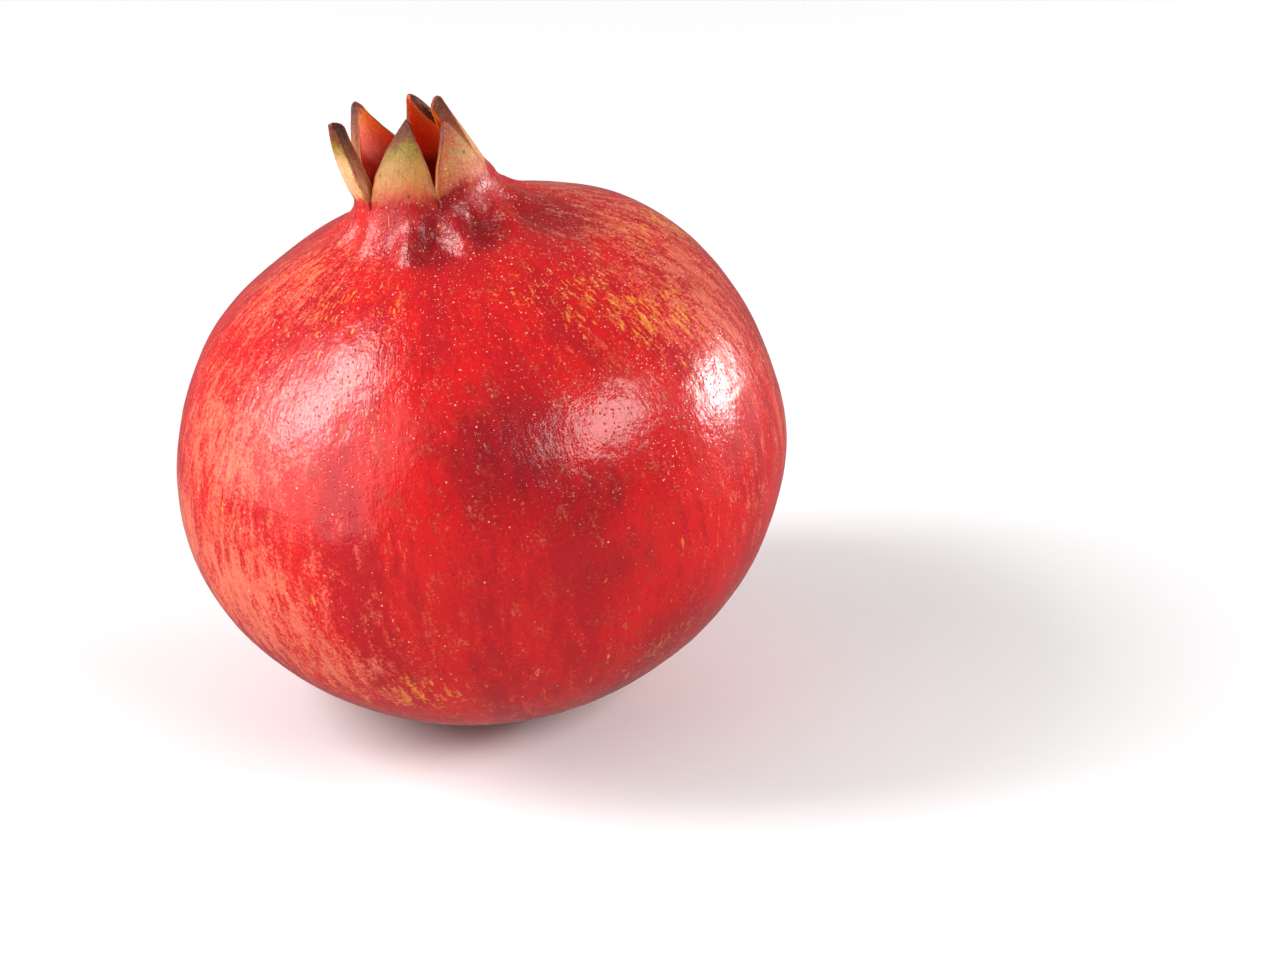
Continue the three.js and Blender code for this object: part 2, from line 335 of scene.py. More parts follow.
def buildFruit():
    count = crown["columns"] * len(crown["points"])
    firstNotch = crown["points"][0]["azimuth"] - 180 / len(crown["points"])
    azimuth = np.radians(firstNotch + np.arange(count) * 360 / count)
    cage = Cage()
    rows = bodyOutline()
    pole = cage.add([np.array([0, 0, rows[0][1] + 0.05])])[0]
    stemReach = 6  # the stem end stays round
    places = [ringAt(r, h, azimuth, uneven=r > stemReach) for r, h in rows]
    for ring, share in zip(reversed(places), crown["notchShares"]):
        ring[:, 2] -= notchDip(azimuth) * share
    rings = [cage.add(ring) for ring in places]
    for low, high in zip(rings, rings[1:]):
        cage.quads(low, high, closed=True)
    for j in range(count):
        cage.faces.append((pole, rings[0][(j + 1) % count], rings[0][j]))
    cupPlaces = [ringAt(r, h, azimuth, uneven=False) for r, h in cupOutline()]
    cupPlaces[0][:, 2] -= notchDip(azimuth)
    cupRings = [cage.add(ring, inside=1.0) for ring in cupPlaces]
    for high, low in zip(cupRings, cupRings[1:]):
        cage.quads(high, low, closed=True)
    floor = cage.add([np.array([0, 0, crown["cupFloor"] + 0.7])], inside=1.0)[0]
    for j in range(count):
        cage.faces.append((floor, cupRings[-1][j], cupRings[-1][(j + 1) % count]))
    notches = range(0, count, crown["columns"])
    halfway = [(cage.places[rings[-1][n]] + cage.places[cupRings[0][n]]) / 2 for n in notches]
    mids = cage.add(halfway, inside=0.5, edge=1.0)
    for number in range(len(crown["points"])):
        run = (np.arange(crown["columns"] + 1) + number * crown["columns"]) % count
        ends = [mids[number], mids[(number + 1) % len(mids)]]
        growPoint(cage, number, rings[-1][run], ends, cupRings[0][run])
    mesh = bpy.data.meshes.new("rind")
    mesh.from_pydata([tuple(p) for p in cage.places], [], [tuple(map(int, f)) for f in cage.faces])
    for name, values in cage.marks.items():
        mesh.attributes.new(name, "FLOAT", "POINT").data.foreach_set("value", values)
    return mesh


def refine(cageMesh, levels):  # subdivides the control mesh and returns the result as a plain mesh
    holder = bpy.data.objects.new("rindCage", cageMesh)
    bpy.context.scene.collection.objects.link(holder)
    subdivision = holder.modifiers.new("round", "SUBSURF")
    subdivision.levels = subdivision.render_levels = levels
    evaluated = holder.evaluated_get(bpy.context.evaluated_depsgraph_get())
    fine = bpy.data.meshes.new_from_object(evaluated)
    bpy.data.objects.remove(holder)
    return fine


def crownLumps(places):  # the swollen knobs and the hollows between them round the foot of the crown
    azimuth = np.arctan2(places[:, 0], -places[:, 1])
    height = places[:, 2]
    wallMiddle = crown["radius"] - crown["wall"] / 2
    outside = smooth(np.hypot(places[:, 0], places[:, 1]) - wallMiddle, -0.3, 0.5)
    outside = outside * (height > 30)  # not the stem end
    lift = np.zeros(len(places))
    for lumpAzimuth, lumpHeight, lumpLift, turnSpread, heightSpread in crown["lumps"]:
        away = (azimuth - math.radians(lumpAzimuth) + math.pi) % (2 * math.pi) - math.pi
        lopsided = np.where(height < lumpHeight, 0.75, 1.25)  # steeper below than above
        rise = (height - lumpHeight) / lopsided / heightSpread
        lift += lumpLift * np.exp(-((away / math.radians(turnSpread)) ** 2) - rise ** 2)
    return outward(azimuth) * (lift * outside)[:, None]


def scarAmount(places):  # how much each place lies in a healed scar: 1 in the middle, 0 outside
    azimuth = np.arctan2(places[:, 0], -places[:, 1])
    level = np.hypot(places[:, 0], places[:, 1])
    latitude = np.arctan2(places[:, 2] / fruit["halfHeight"], level / fruit["radius"])
    meanRadius = (fruit["radius"] + fruit["halfHeight"]) / 2
    amount = np.zeros(len(places))
    for scarAzimuth, scarLatitude, length, width in fruit["scars"]:
        along = (latitude - math.radians(scarLatitude)) * meanRadius / length
        ringRadius = fruit["radius"] * math.cos(math.radians(scarLatitude))
        away = (azimuth - math.radians(scarAzimuth)) * ringRadius / width
        amount = np.maximum(amount, np.exp(-4 * (along ** 2 + away ** 2)))
    return amount


def roughen(mesh):  # gives the smooth rind the slow ripples and creases of a grown one
    count = len(mesh.vertices)
    places = np.empty(count * 3)
    mesh.vertices.foreach_get("co", places)
    places = places.reshape(-1, 3)
    normals = np.empty(count * 3)
    mesh.vertex_normals.foreach_get("vector", normals)
    normals = normals.reshape(-1, 3)
    places += crownLumps(places)
    lift = np.empty(count)
    for i, place in enumerate(places):
        x, y, z = place
        level = max(math.hypot(x, y), 1e-6)
        slow = noise.fractal(Vector(place) / fruit["rippleSize"], 1.0, 2.0, 3)
        around = fruit["creasesAround"] / level
        fold = noise.noise(Vector((x * around, y * around, z / fruit["creaseLength"])))
        pebble = noise.fractal(Vector(place) / fruit["pebbleSize"], 1.0, 2.0, 2)
        fromPebbles = abs(z - fruit["pebbleHeight"]) / fruit["pebbleReach"]
        onNeck = max(0, 1 - fromPebbles) if level > 9.5 else 0  # outside the cup
        onBody = 1 if z < 36 and level > 8 else fruit["calmCrown"]
        lift[i] = (fruit["ripple"] * slow + fruit["creases"] * fold) * onBody
        lift[i] += fruit["pebbles"] * pebble * onNeck
    markRind(mesh, places)
    scar = scarAmount(places)
    lift += fruit["scarDepth"] * (fruit["scarLip"] * np.sqrt(scar) - fruit["scarPit"] * scar)
    placed = stand(places + normals * lift[:, None])
    placed[:, 2] = np.maximum(placed[:, 2], 0)  # the flat spot
    mesh.vertices.foreach_set("co", placed.ravel())
    mesh.shade_smooth()
    mesh.update()


# Where the red is thin, where it runs to gold, where it is darker, and where pale specks crowd: azimuth,
# latitude, reach in degrees, strength. The thin red is partly painted sheen on the lit left and right
# flanks; the darker red is partly painted shade across the middle of the front and in the hollows between
# the knobs round the crown.
rindPatches = {
    # partly painted sheen: pale salmon on the left and right flanks where the lamps light them, besides the
    # rind's own pale patches
    "paleBlush": [
        (-60, 26, 22, 0.7), (-52, -6, 26, 0.85), (-76, 0, 20, 0.9), (-74, 60, 18, 0.6),
        (-34, -20, 13, 0.7), (76, 32, 22, 0.75), (92, 52, 20, 0.6), (62, -4, 16, 0.3),
        (90, 0, 20, 0.6), (-20, -62, 20, 0.5), (150, 8, 30, 0.6), (-130, 30, 26, 0.5),
        (180, -32, 30, 0.5), (-28, 44, 12, 0.3), (60, -50, 26, 0.4), (115, 62, 14, 0.6),
    ],
    "goldFlush": [
        (53, 41, 9, 1.0), (44, 50, 10, 0.7), (64, 36, 9, 0.8), (104, 43, 11, 0.9), (84, 50, 11, 0.6),
        (30, 56, 8, 0.5), (-40, 60, 8, 0.6), (-18, 61, 6, 0.5), (-72, 66, 9, 0.5), (-40, -29, 9, 0.7),
        (-19, -28, 9, 0.9), (-22, -10, 5, 0.5), (-58, 18, 10, 0.35), (-17, 36, 3, 0.8), (170, 34, 16, 0.8),
        (-124, 8, 14, 0.5), (140, -18, 13, 0.6), (-150, 60, 12, 0.6), (40, -40, 14, 0.4),
    ],
    # partly painted shade: darker red across the middle of the front and in the hollows between the crown's
    # knobs, besides deep red patches of the rind's own
    "wineShade": [
        (8, 26, 15, 0.85), (24, 12, 12, 0.6), (24, -4, 12, 0.5), (75, 66, 12, 0.8), (0, 73, 6, 1.2),
        (34, 73, 5, 1.2), (-30, 74, 3, 0.5), (14, 77, 12, 0.8), (150, -10, 24, 0.5), (-140, -20, 20, 0.5),
        (40, -30, 18, 0.5), (45, 20, 10, 0.3),
    ],
    "speckle": [
        (60, 58, 30, 0.95), (20, 72, 20, 0.8), (-45, 62, 22, 0.5), (100, 40, 24, 0.7), (-35, -8, 14, 0.35),
        (180, 50, 40, 0.7), (-110, 50, 30, 0.5), (-12, 78, 12, 0.7),
    ],
}


def markRind(mesh, places):  # writes the attributes that the rind's patterns follow
    azimuth = np.arctan2(places[:, 0], -places[:, 1])
    level = np.hypot(places[:, 0], places[:, 1])
    latitude = np.arctan2(places[:, 2] / fruit["halfHeight"], level / fruit["radius"])
    narrowing = 1 - fruit["flowNarrowing"] * (1 - np.cos(latitude))
    flow = outward(azimuth) * (fruit["radius"] * narrowing)[:, None]
    flow[:, 2] = latitude * fruit["flowRadius"]
    mesh.attributes.new("flow", "FLOAT_VECTOR", "POINT").data.foreach_set("vector", flow.ravel())
    here = onSphere(azimuth, latitude)
    for name, patches in rindPatches.items():
        amount = np.zeros(len(places))
        for patchAzimuth, patchLatitude, reach, strength in patches:
            there = onSphere(np.array(math.radians(patchAzimuth)), np.array(math.radians(patchLatitude)))
            angle = np.degrees(np.arccos(np.clip(here @ there, -1, 1)))
            amount = np.maximum(amount, strength * np.exp(-((angle / reach) ** 2)))
        mesh.attributes.new(name, "FLOAT", "POINT").data.foreach_set("value", amount)
    height = places[:, 2]
    spots = {
        "scar": smooth(scarAmount(places), 0.35, 0.8),
        "cork": smooth(-height, 39.3, 39.9) * (1 - smooth(level, 2.6, 3.8)),  # the end of the stem
        "neck": smooth(height, 36.5, 40.5) * (1 - smooth(height, 43.5, 46)),
    }
    for name, amount in spots.items():
        mesh.attributes.new(name, "FLOAT", "POINT").data.foreach_set("value", amount)


rindMesh = refine(buildFruit(), fruit["subdivisions"])
roughen(rindMesh)
pomegranate = bpy.data.objects.new("pomegranateRind", rindMesh)
bpy.context.scene.collection.objects.link(pomegranate)
print("fruit made:", len(rindMesh.polygons), "faces")


def linear(hexColour):  # sRGB hex to linear RGBA
    values = [int(hexColour[i:i + 2], 16) / 255 for i in (1, 3, 5)]
    return [v / 12.92 if v <= 0.04045 else ((v + 0.055) / 1.055) ** 2.4 for v in values] + [1]


def addNode(tree, kind, settings, inputs):  # adds a node, sets it up and links or fills its inputs
    node = tree.nodes.new(kind)
    for name, value in settings.items():
        if name == "stops":
            ramp = node.color_ramp.elements
            while len(ramp) < len(value):
                ramp.new(1)
            for element, (position, colour) in zip(ramp, value):
                element.position = position
                element.color = linear(colour)
        else:
            setattr(node, name, value)
    for key, value in inputs.items():
        if isinstance(key, int):
            socket = node.inputs[key]
        else:
            socket = next(s for s in node.inputs if key in (s.identifier, s.name) and s.enabled)
        if isinstance(value, bpy.types.Node):
            value = next(s for s in value.outputs if s.enabled)
        if isinstance(value, bpy.types.NodeSocket):
            tree.links.new(value, socket)
        else:
            socket.default_value = value
    return node


# Waxy rind of a ripe pomegranate: a tough leathery skin, grown, not made. Its thin wax gives soft-edged
# gloss, its pores and pale corky specks break that gloss up, and the red lies in streaks from crown
# to stem.
rindLook = {
    "crimson": "#AE151D",
    "scarlet": "#CC1A1B",
    # dark red, laid on partly as painted shade
    "wine": "#86101A",
    # pale salmon, laid on partly as painted sheen
    "pale": "#E27258",
    "gold": "#E8923A",
    "speck": "#F4B89C",
    "cork": "#7A5233",
    "scar": "#B8541E",
    "roughness": (0.13, 0.25),
    "gloss": 0.42,
    "grainSize": 0.5,  # sizes, spacings and depths in mm
    "grainDepth": 0.035,
    "poreSpacing": 0.75,
    "poreDepth": 0.06,
    "spotSpacing": 3.0,
    "dimpleSize": 3.0,
    "dimpleDepth": 0.2,
    "creaseDepth": 0.09,
    "speckHeight": 0.06,
    "crownGrit": 0.5,  # depths of the crown's coarse and fine crumple, and of the neck's
    "crownCrust": 0.22,
    "neckGrit": 0.1,
    "streakDrawing": 0.26,  # how much a pattern is stretched from crown to stem: below 1 is longer
    "threadDrawing": 0.16,
    "throughDepth": 2.0,  # how deep light goes into the thin dry points
    "throughColour": (1.0, 0.42, 0.2),  # and how far its red, green and blue go, as shares of that
}

# The crown's skin dries as it thins: colours from the rim to the tips, outside, inside and along the edges
crownLook = {
    "outside": [(0.0, "#AE1A22"), (0.1, "#BA2A1E"), (0.18, "#BA5226"), (0.3, "#B4721E"), (0.5, "#9C7412"),
                (0.68, "#86700E"), (0.8, "#74340E"), (1.0, "#4A1C0E")],
    # the inside colours are partly painted light: lighter than the lining's own orange, standing in for
    # light that comes through the thin points
    "inside": [(0.0, "#961E12"), (0.15, "#CC2E18"), (0.4, "#E64612"), (0.58, "#E95E0A"), (0.78, "#E47A0A"),
               (0.9, "#983E16"), (1.0, "#5E240E")],
    "edge": [(0.0, "#AA682E"), (0.45, "#904E24"), (0.74, "#602814"), (1.0, "#36140A")],
    "warm": "#C84E1A",
    # pale cream of the dry skin, laid on partly as painted light where a point faces the lamps
    "cream": "#E6B888",
    # painted light: the bright orange laid on the inside of the back points
    "paintedGlow": "#FF6A32",
    "mottle": "#8C4A16",
    "spot": "#6A2E16",
    "frost": "#EFC596",
}

# Sizes of the noises in features per mm, and the coordinates they lie in: grown are millimetres in
# space, drawn follow the rind from crown to stem, longer than they are wide
rindNoises = {
    "bands": {"along": "drawnFar", "Scale": 0.09, "Detail": 2.0},
    "streaks": {"along": "drawnOut", "Scale": 0.55, "Detail": 5.0, "Roughness": 0.62},
    "threads": {"along": "drawnFar", "Scale": 1.1, "Detail": 4.0, "Roughness": 0.6},
    "blotches": {"along": "grown", "Scale": 0.25, "Detail": 6.0, "Roughness": 0.68},
    "ragged": {"along": "grown", "Scale": 0.45, "Detail": 5.0, "Roughness": 0.68},
    "grain": {"along": "grown", "Scale": 1 / rindLook["grainSize"], "Detail": 2.0},
    "dimples": {"along": "grown", "Scale": 1 / rindLook["dimpleSize"], "Detail": 3.0},
}

# Pale corky specks, up to a third of a millimetre across, and fewer, longer flecks: the spacing of the
# cells in mm, the size of a speck as a share of that, and how likely a cell holds one
rindSpecks = {
    "bigSpecks": {"along": "grown", "spacing": 0.75, "size": 0.18,
                  "chance": [("speckle", 1.0), ("crownWarmth", 1.0), ("everywhere", 0.04)]},
    "fineSpecks": {"along": "grown", "spacing": 0.45, "size": 0.19,
                   "chance": [("speckle", 0.9), ("crownWarmth", 0.9), ("everywhere", 0.04)]},
    "flecks": {"along": "drawnOut", "spacing": 2.0, "size": 0.12,
               "chance": [("speckle", 0.35), ("goldFlush", 0.3), ("everywhere", 0.05)]},
}

# Masks, each a sum of patterns with a weight, which is a number or another pattern. With a low and a
# high end, the sum is eased to run from 0 to its top between them. A mask may use those above it.
rindMasks = {
    "redTone": {"sum": [("bands", 0.4), ("streaks", 0.35), ("grain", 0.25)], "low": 0.43, "high": 0.57},
    # partly painted shade: the dark red follows the painted-shade patches as well as the streaks and
    # blotches
    "wineTone": {"sum": [("streaks", 0.6), ("blotches", 0.3), ("wineShade", 0.4)],
                 "low": 0.5, "high": 0.84, "top": 0.95},
    # partly painted sheen: the pale salmon follows the painted-sheen patches on the lit flanks as well as
    # the streaks and blotches
    "paleTone": {"sum": [("streaks", 0.45), ("blotches", 0.3), ("grain", 0.25), ("paleBlush", 0.21)],
                 "low": 0.55, "high": 0.73, "top": 0.9},
    "goldTone": {"sum": [("threads", 0.65), ("blotches", 0.15), ("grain", 0.2), ("goldFlush", 0.15)],
                 "low": 0.6, "high": 0.73, "top": 0.85},
    "specks": {"sum": [("bigSpecks", 0.8), ("fineSpecks", 0.6)]},
    "fleckTone": {"sum": [("flecks", 0.8)]},
    "scarTone": {"sum": [("scar", 0.75)]},
    "reach": {"sum": [("ragged", 0.35), ("blotches", 0.3), ("crownReach", 1.0),
                      ("crownWarmth", -0.1), ("everywhere", -0.32)]},
    "warmPatch": {"sum": [("ragged", 0.6), ("blotches", 0.4)], "low": 0.42, "high": 0.58},
    "warmTone": {"sum": [("warmPatch", "crownWarmth")]},
    "creamPatch": {"sum": [("reach", 1.0)], "low": 0.75, "high": 0.4},
    # partly painted light: the cream is laid on most where a point faces the lamps
    "creamTone": {"sum": [("creamPatch", "crownPale")]},
    # painted light: brightens the inside of the back points, standing in for light through the thin points
    "glowTone": {"sum": [("crownGlow", 0.6)]},
    "spotTone": {"sum": [("spots", 1.0), ("ragged", 0.3)], "low": 0.3, "high": 0.22, "top": 0.8},
    "mottleTone": {"sum": [("ragged", 0.5), ("grain", 0.5)], "low": 0.5, "high": 0.6, "top": 0.4},
    "fibreTone": {"sum": [("threads", 1.0)], "low": 0.5, "high": 0.7, "top": 0.25},
    "frostShare": {"sum": [("crownWarmth", 0.8), ("everywhere", 0.4)]},
    "frostTone": {"sum": [("specks", "frostShare")]},
    "crownStart": {"sum": [("reach", 1.0)], "low": 0.0, "high": 0.16},
    "edgeTone": {"sum": [("ragged", 0.25), ("crownEdge", 1.0)], "low": 0.98, "high": 1.1, "top": 0.85},
    "crownDryness": {"sum": [("crownReach", 1.0)], "low": 0.0, "high": 0.4},
    "thinness": {"sum": [("crownReach", 1.0)], "low": 0.0, "high": 0.15, "top": 0.85},
    "pit": {"sum": [("pores", 1.0)], "low": 0.0, "high": 0.3},
    "roughness": {"sum": [("crownDryness", 0.32), ("neck", 0.05),
                          ("everywhere", rindLook["roughness"][0]),
                          ("blotches", rindLook["roughness"][1] - rindLook["roughness"][0])]},
    "crownGrit": {"sum": [("crownReach", rindLook["crownGrit"])]},
    "crownCrust": {"sum": [("crownReach", rindLook["crownCrust"])]},
    "neckGrit": {"sum": [("neck", rindLook["neckGrit"])]},
    "relief": {"sum": [("grain", rindLook["grainDepth"]), ("pit", rindLook["poreDepth"]),
                       ("dimples", rindLook["dimpleDepth"]), ("threads", rindLook["creaseDepth"]),
                       ("specks", rindLook["speckHeight"]), ("ragged", "crownGrit"),
                       ("grain", "crownCrust"), ("grain", "neckGrit")]},
}

# The coats of colour, each over the one before it: what it is laid on, and which mask it is laid with
rindCoats = {
    # the wine coat is partly painted shade, and the pale coat partly painted sheen
    "rind": ["crimson", ("redTone", "scarlet"), ("wineTone", "wine"), ("paleTone", "pale"),
             ("goldTone", "gold"), ("specks", "speck"), ("fleckTone", "gold"), ("scarTone", "scar"),
             ("cork", "cork")],
    "sepal": ["outside", ("warmTone", "warm"), ("creamTone", "cream"), ("mottleTone", "mottle"),
              ("spotTone", "spot"), ("fibreTone", "spot"), ("frostTone", "frost")],
    # the glow coat on the lining is painted light
    "lining": ["inside", ("glowTone", "paintedGlow")],
    "whole": ["rind", ("crownStart", "sepal"), ("crownInside", "lining"), ("edgeTone", "edge")],
}


def makeRindMaterial():
    material = bpy.data.materials.new("waxy pomegranate rind")
    material.use_nodes = True
    tree = material.node_tree
    tree.nodes.clear()

    space = addNode(tree, "ShaderNodeTexCoord", {}, {}).outputs["Object"]
    flow = addNode(tree, "ShaderNodeAttribute", {"attribute_name": "flow"}, {}).outputs["Vector"]
    streakScale = (1, 1, rindLook["streakDrawing"])
    threadScale = (1, 1, rindLook["threadDrawing"])
    along = {
        "grown": addNode(tree, "ShaderNodeMapping", {},
                         {"Vector": space, "Scale": (1 / mm, 1 / mm, 1 / mm)}),
        "drawnOut": addNode(tree, "ShaderNodeMapping", {}, {"Vector": flow, "Scale": streakScale}),
        "drawnFar": addNode(tree, "ShaderNodeMapping", {},  # moved, so that the two don't repeat each other
                            {"Vector": flow, "Location": (70, 0, 0), "Scale": threadScale}),
    }
    found = {"everywhere": 1.0}
    for name in (*rindPatches, "cork", "scar", "neck", "crownReach", "crownInside", "crownEdge",
                 "crownWarmth", "crownPale", "crownGlow"):
        found[name] = addNode(tree, "ShaderNodeAttribute", {"attribute_name": name}, {}).outputs["Fac"]
    for name, values in rindNoises.items():
        inputs = {key: value for key, value in values.items() if key != "along"}
        found[name] = addNode(tree, "ShaderNodeTexNoise", {}, {"Vector": along[values["along"]], **inputs})
    for name, spacing in (("pores", rindLook["poreSpacing"]), ("spots", rindLook["spotSpacing"])):
        cells = addNode(tree, "ShaderNodeTexVoronoi", {}, {"Vector": along["grown"], "Scale": 1 / spacing})
        found[name] = cells.outputs["Distance"]

    for name, speck in rindSpecks.items():  # soft-edged spots, one in some of the cells
        cells = addNode(tree, "ShaderNodeTexVoronoi", {},
                        {"Vector": along[speck["along"]], "Scale": 1 / speck["spacing"]})
        dice = addNode(tree, "ShaderNodeSeparateColor", {}, {"Color": cells.outputs["Color"]})
        size = speck["size"]
        span = addNode(tree, "ShaderNodeMath", {"operation": "MULTIPLY_ADD"},
                       {0: dice.outputs["Green"], 1: size, 2: size * 0.5})
        depth = addNode(tree, "ShaderNodeMath", {"operation": "SUBTRACT"},
                        {0: span, 1: cells.outputs["Distance"]})
        inside = addNode(tree, "ShaderNodeMapRange", {"interpolation_type": "SMOOTHSTEP"},
                         {"Value": depth, "From Max": size * 0.7})
        chance = 0.0
        for pattern, weight in speck["chance"]:
            chance = addNode(tree, "ShaderNodeMath", {"operation": "MULTIPLY_ADD"},
                             {0: found[pattern], 1: weight, 2: chance})
        drawn = addNode(tree, "ShaderNodeMath", {"operation": "LESS_THAN"},
                        {0: dice.outputs["Red"], 1: chance})
        found[name] = addNode(tree, "ShaderNodeMath", {"operation": "MULTIPLY"}, {0: inside, 1: drawn})

    for name, mask in rindMasks.items():
        total = 0.0
        for pattern, weight in mask["sum"]:
            total = addNode(tree, "ShaderNodeMath", {"operation": "MULTIPLY_ADD"},
                            {0: found[pattern], 1: found.get(weight, weight), 2: total})
        if "low" in mask:
            total = addNode(tree, "ShaderNodeMapRange", {"interpolation_type": "SMOOTHSTEP"},
                            {"Value": total, "From Min": mask["low"], "From Max": mask["high"],
                             "To Max": mask.get("top", 1.0)})
        found[name] = total

    colours = {name: linear(value) for look in (rindLook, crownLook) for name, value in look.items()
               if isinstance(value, str)}
    for name in ("outside", "inside", "edge"):
        colours[name] = addNode(tree, "ShaderNodeValToRGB", {"stops": crownLook[name]}, {0: found["reach"]})
    for name, (ground, *coats) in rindCoats.items():
        colour = colours[ground]
        for mask, over in coats:
            colour = addNode(tree, "ShaderNodeMix", {"data_type": "RGBA"},
                             {"Factor_Float": found[mask], "A_Color": colour, "B_Color": colours[over]})
        colours[name] = colour

    relief = addNode(tree, "ShaderNodeBump", {}, {"Height": found["relief"], "Distance": mm})
    shader = addNode(tree, "ShaderNodeBsdfPrincipled", {},
                     {"Base Color": colours["whole"], "Roughness": found["roughness"], "Normal": relief,
                      "Specular IOR Level": rindLook["gloss"], "Subsurface Weight": found["thinness"],
                      "Subsurface Radius": rindLook["throughColour"],
                      "Subsurface Scale": rindLook["throughDepth"] * mm})
    addNode(tree, "ShaderNodeOutputMaterial", {}, {"Surface": shader})
    return material


rindMesh.materials.append(makeRindMaterial())
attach(pomegranate, "root")
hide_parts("pomegranate")
print("rind coloured")


# Dried stamens in the cup of the crown
stamens = {
    "count": 110,
    "seed": 4,
    "threadRadius": 0.13,
    "antherRadius": 0.42,
    "size": (0.6, 1.05),
    "radius": (3.5, 8.2),
    "height": (0.2, 4.6),  # above the floor of the cup
    "sway": (-0.9, 0.9),  # radians, to the sides and down
    "tip": (-0.25, 0.5),
    "rootHandle": (0.5, 0, 1.6),
    "curls": [  # end of a filament and the handle there
        ((0.6, 0, 5.0), (-0.6, 0.8, 3.2)),
        ((2.6, 0.6, 3.6), (-0.4, 0, 3.8)),
        ((3.4, -0.8, 2.0), (0.2, 0.4, 3.6)),
    ],
    "antherShape": (0.7, 0.55, 1.25),
    "antherTurn": (0.4, 0.7, 0),
    "browns": [(0.3, "#241009"), (0.5, "#4E2A17"), (0.7, "#8A5A30")],
    "patchScale": 0.8,  # features per mm
    "crumpleScale": 4.0,
    "crumpleDepth": 0.08,
    "roughness": 0.75,
}


def stamenTree():
    tree = bpy.data.node_groups.new("dried stamens", "GeometryNodeTree")
    face = tree.interface
    for name, kind in (("Count", "Int"), ("Thread Radius", "Float"), ("Anther Radius", "Float"),
                       ("Seed", "Int"), ("Material", "Material")):
        face.new_socket(name, in_out="INPUT", socket_type="NodeSocket" + kind)
    face.new_socket("Geometry", in_out="OUTPUT", socket_type="NodeSocketGeometry")
    given = addNode(tree, "NodeGroupInput", {}, {}).outputs

    kinds = addNode(tree, "GeometryNodeJoinGeometry", {}, {})
    for end, handle in stamens["curls"]:  # a filament that curls over, with an anther on its end
        line = addNode(tree, "GeometryNodeCurvePrimitiveBezierSegment", {},
                       {"Resolution": 8, "Start": (0, 0, 0), "Start Handle": stamens["rootHandle"],
                        "End Handle": handle, "End": end})
        ring = addNode(tree, "GeometryNodeCurvePrimitiveCircle", {},
                       {"Resolution": 5, "Radius": given["Thread Radius"]})
        filament = addNode(tree, "GeometryNodeCurveToMesh", {},
                           {"Curve": line, "Profile Curve": ring, "Fill Caps": True})
        anther = addNode(tree, "GeometryNodeMeshIcoSphere", {},
                         {"Radius": given["Anther Radius"], "Subdivisions": 2})
        seated = addNode(tree, "GeometryNodeTransform", {},
                         {"Geometry": anther.outputs["Mesh"], "Translation": end,
                          "Scale": stamens["antherShape"], "Rotation": stamens["antherTurn"]})
        whole = addNode(tree, "GeometryNodeJoinGeometry", {}, {0: filament})
        tree.links.new(seated.outputs[0], whole.inputs[0])
        curl = addNode(tree, "GeometryNodeGeometryToInstance", {}, {0: whole})
        tree.links.new(curl.outputs[0], kinds.inputs[0])

    # they grow from the wall and floor of the cup, leaning in and to the sides
    floor = crown["cupFloor"]
    order = addNode(tree, "GeometryNodeInputIndex", {}, {})
    drawn = {"spin": (0, math.tau), "height": tuple(floor + h for h in stamens["height"]),
             "radius": stamens["radius"], "sway": stamens["sway"], "tip": stamens["tip"],
             "size": stamens["size"]}
    for number, (name, (low, high)) in enumerate(drawn.items()):
        seed = addNode(tree, "ShaderNodeMath", {"operation": "ADD"}, {0: given["Seed"], 1: number})
        drawn[name] = addNode(tree, "FunctionNodeRandomValue", {"data_type": "FLOAT"},
                              {"Min": low, "Max": high, "ID": order, "Seed": seed})
    level = {}
    for name in ("COSINE", "SINE"):
        share = addNode(tree, "ShaderNodeMath", {"operation": name}, {0: drawn["spin"]})
        level[name] = addNode(tree, "ShaderNodeMath", {"operation": "MULTIPLY"},
                              {0: share, 1: drawn["radius"]})
    innermost, outermost = stamens["radius"]
    height = addNode(tree, "ShaderNodeMapRange", {},
                     {"Value": drawn["radius"], "From Min": (innermost + outermost) / 2,
                      "From Max": outermost, "To Min": floor + stamens["height"][0],
                      "To Max": drawn["height"]})
    place = addNode(tree, "ShaderNodeCombineXYZ", {}, {0: level["COSINE"], 1: level["SINE"], 2: height})
    roots = addNode(tree, "GeometryNodePoints", {}, {"Count": given["Count"], "Position": place})
    inwards = addNode(tree, "ShaderNodeMath", {"operation": "ADD"}, {0: drawn["spin"], 1: math.pi})
    heading = addNode(tree, "ShaderNodeMath", {"operation": "ADD"}, {0: inwards, 1: drawn["sway"]})
    turned = addNode(tree, "ShaderNodeCombineXYZ", {}, {1: drawn["tip"], 2: heading})
    which = addNode(tree, "FunctionNodeRandomValue", {"data_type": "INT"},
                    {"Min": 0, "Max": len(stamens["curls"]) - 1, "Seed": given["Seed"]})
    planted = addNode(tree, "GeometryNodeInstanceOnPoints", {},
                      {"Points": roots, "Instance": kinds, "Pick Instance": True, "Instance Index": which,
                       "Rotation": turned, "Scale": drawn["size"]})
    real = addNode(tree, "GeometryNodeRealizeInstances", {}, {"Geometry": planted})
    dressed = addNode(tree, "GeometryNodeSetMaterial", {},
                      {"Geometry": real, "Material": given["Material"]})
    addNode(tree, "NodeGroupOutput", {}, {0: dressed})
    return tree


